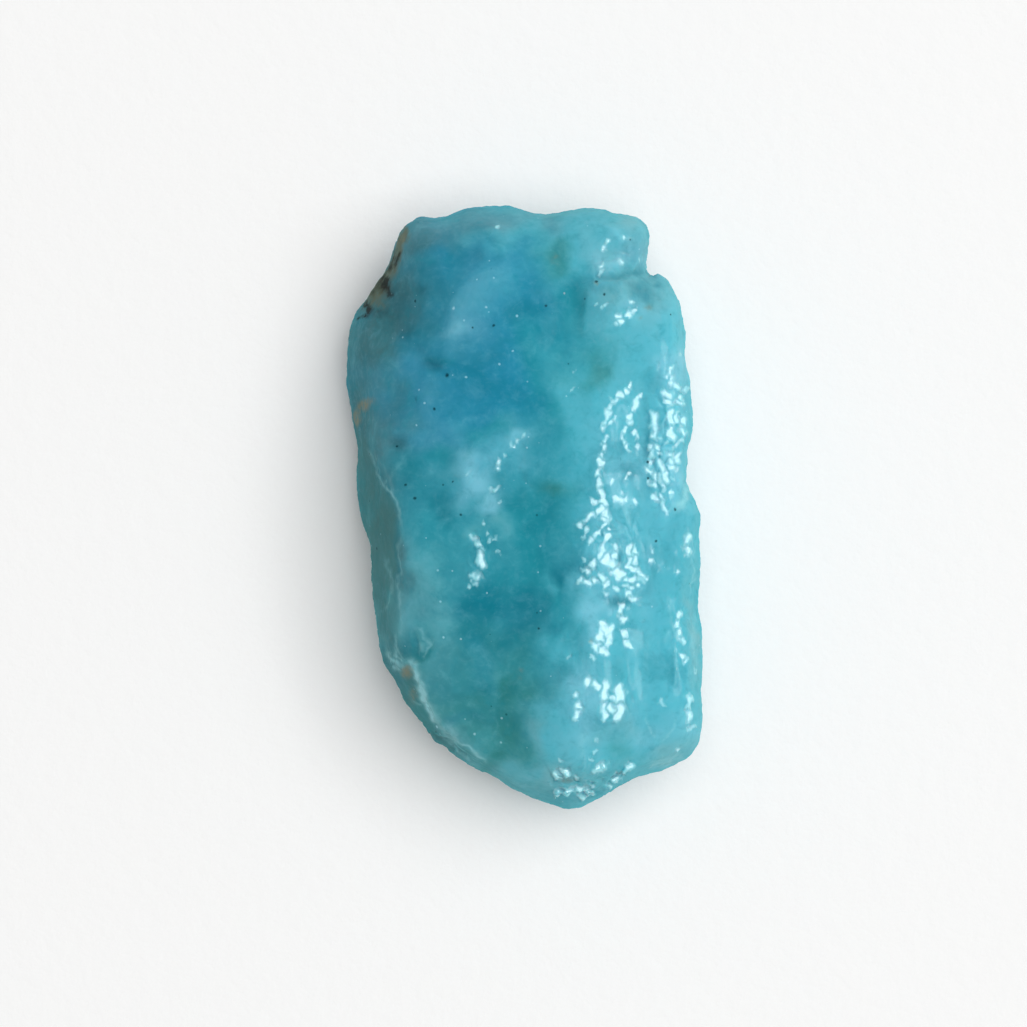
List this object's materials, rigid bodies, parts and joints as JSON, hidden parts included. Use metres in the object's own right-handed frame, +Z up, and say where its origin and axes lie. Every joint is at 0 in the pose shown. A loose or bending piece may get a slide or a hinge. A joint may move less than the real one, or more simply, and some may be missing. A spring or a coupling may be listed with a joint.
{
  "type": "raw larimar stone",
  "caption": "Rough, unpolished piece of blue-green larimar that lies on a flat cleavage face, for display or as a natural prop.",
  "frame": {"origin": "middle of the footprint, on the flat face that the stone rests on", "axes": "+Y along the stone towards its notched far end, +Z up through its thickness, +X towards the glossy, wrinkled side"},
  "size_m": [0.0178, 0.03, 0.011],
  "materials": {
    "larimar": "translucent, cloudy blue-green stone with a wet gloss, milky patches, dark specks and a rusty rim stain"
  },
  "bodies": {
    "root": {"larimar_stone": "larimar"}
  },
  "joints": []
}
